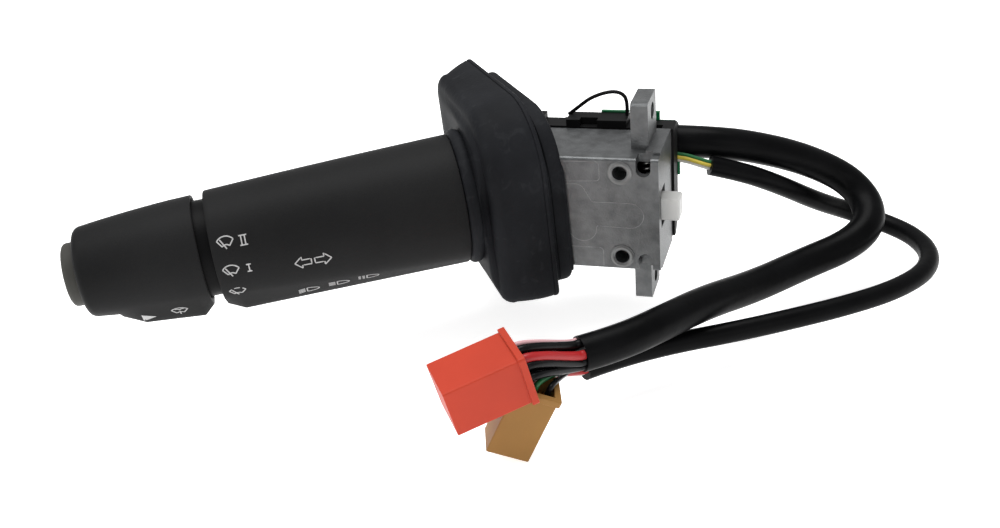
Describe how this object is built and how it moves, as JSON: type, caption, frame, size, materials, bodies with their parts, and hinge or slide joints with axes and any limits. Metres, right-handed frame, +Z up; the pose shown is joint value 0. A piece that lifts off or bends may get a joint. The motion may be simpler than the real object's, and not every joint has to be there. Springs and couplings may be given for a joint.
{
  "type": "combination stalk switch",
  "caption": "Steering-column stalk switch: handle with turning end knob and button, rubber boot, die-cast housing with mounting lugs, and a sleeved harness with plugs.",
  "frame": {"origin": "midway between the two lug holes, on the lugs' right-hand mounting face", "axes": "+X to the right along the bracket's bolt direction, +Y away from the driver, +Z up; the lever leaves to the left, yawed towards the driver"},
  "size_m": [0.3205, 0.1988, 0.0857],
  "materials": {
    "die_cast": "cast, satin",
    "black_plastic": "moulded, matte",
    "board_green": "solder resist",
    "steel": "plated",
    "yoke_metal": "cast",
    "brass": "stamped",
    "boot_rubber": "matte",
    "grip_black": "fine grain",
    "button_grey": "satin",
    "nylon_white": "satin",
    "sleeve_black": "semi-gloss",
    "wire_green": "insulation",
    "wire_red": "insulation",
    "connector_orange": "satin",
    "connector_tan": "satin"
  },
  "bodies": {
    "housing": {"switch_housing": "die_cast", "rear_carrier": "black_plastic", "circuit_board": "board_green", "rear_cover": "black_plastic", "cover_screws": "steel", "contact_strips": "brass", "indicator_detent_spring": "steel", "cancel_finger_pin": "steel", "finger_centring_springs": "steel", "boot_rim": "boot_rubber", "boot_skirt": "boot_rubber", "boot_frame": "black_plastic", "boot_frame_screws": "steel", "harness_sleeve_large": "sleeve_black", "harness_sleeve_small": "sleeve_black", "harness_lead": "wire_green", "orange_wires": "black_plastic", "tan_wires": "wire_red", "jumper_wire": "black_plastic", "orange_connector": "connector_orange", "tan_connector": "connector_tan", "orange_terminals": "brass", "tan_terminals": "brass"},
    "yoke": {"swing_yoke": "yoke_metal", "swing_pins": "steel", "lever_pin": "steel", "flash_return_spring": "steel", "indicator_contact_bridge": "brass", "boot_bellows": "boot_rubber"},
    "lever": {"lever_stem": "steel", "grip_shell": "grip_black", "grip_centring_rings": "black_plastic", "wiper_contact_plate": "black_plastic", "wiper_contacts": "brass", "wiper_detent_spring": "steel", "boot_collar": "boot_rubber"},
    "rotor": {"rotor_shaft": "steel", "shaft_clip": "steel", "wiper_rotor": "black_plastic", "rotor_contact_bridge": "brass", "knob_screw": "steel", "washer_return_spring": "steel"},
    "knob": {"knob_shell": "grip_black", "knob_core": "black_plastic", "horn_contact_ring": "brass", "horn_return_spring": "steel"},
    "button": {"horn_button": "button_grey"},
    "finger": {"cancel_finger": "nylon_white"}
  },
  "joints": [
    {"name": "indicator_swing", "type": "hinge", "parent": "housing", "child": "yoke", "pos_m": [-0.035, 0.002, 0.006], "axis": [0, 1, 0], "range_deg": [-10, 10], "deforming": ["indicator_detent_spring", "boot_skirt"]},
    {"name": "dip_flash", "type": "hinge", "parent": "yoke", "child": "lever", "pos_m": [-0.035, 0.002, 0.006], "axis": [-0.0401, 0, 0.9992], "range_deg": [-5, 6], "stiffness_Nm_per_rad": 8, "deforming": ["flash_return_spring", "boot_bellows", "boot_skirt"]},
    {"name": "wiper_turn", "type": "hinge", "parent": "lever", "child": "rotor", "pos_m": [-0.035, 0.002, 0.006], "axis": [-0.8739, -0.4848, -0.0351], "range_deg": [0, 120], "deforming": ["wiper_detent_spring"]},
    {"name": "washer_push", "type": "slide", "parent": "rotor", "child": "knob", "axis": [0.8739, 0.4848, 0.0351], "range_m": [0, 0.0035], "stiffness_N_per_m": 1500, "deforming": ["washer_return_spring"]},
    {"name": "horn_press", "type": "slide", "parent": "knob", "child": "button", "axis": [0.8739, 0.4848, 0.0351], "range_m": [0, 0.002], "stiffness_N_per_m": 1200, "deforming": ["horn_return_spring"]},
    {"name": "cancel_trip", "type": "hinge", "parent": "housing", "child": "finger", "pos_m": [-0.007, -0.011, 0.0008], "axis": [0, 1, 0], "range_deg": [-12, 12], "stiffness_Nm_per_rad": 0.08, "deforming": ["finger_centring_springs"]}
  ]
}
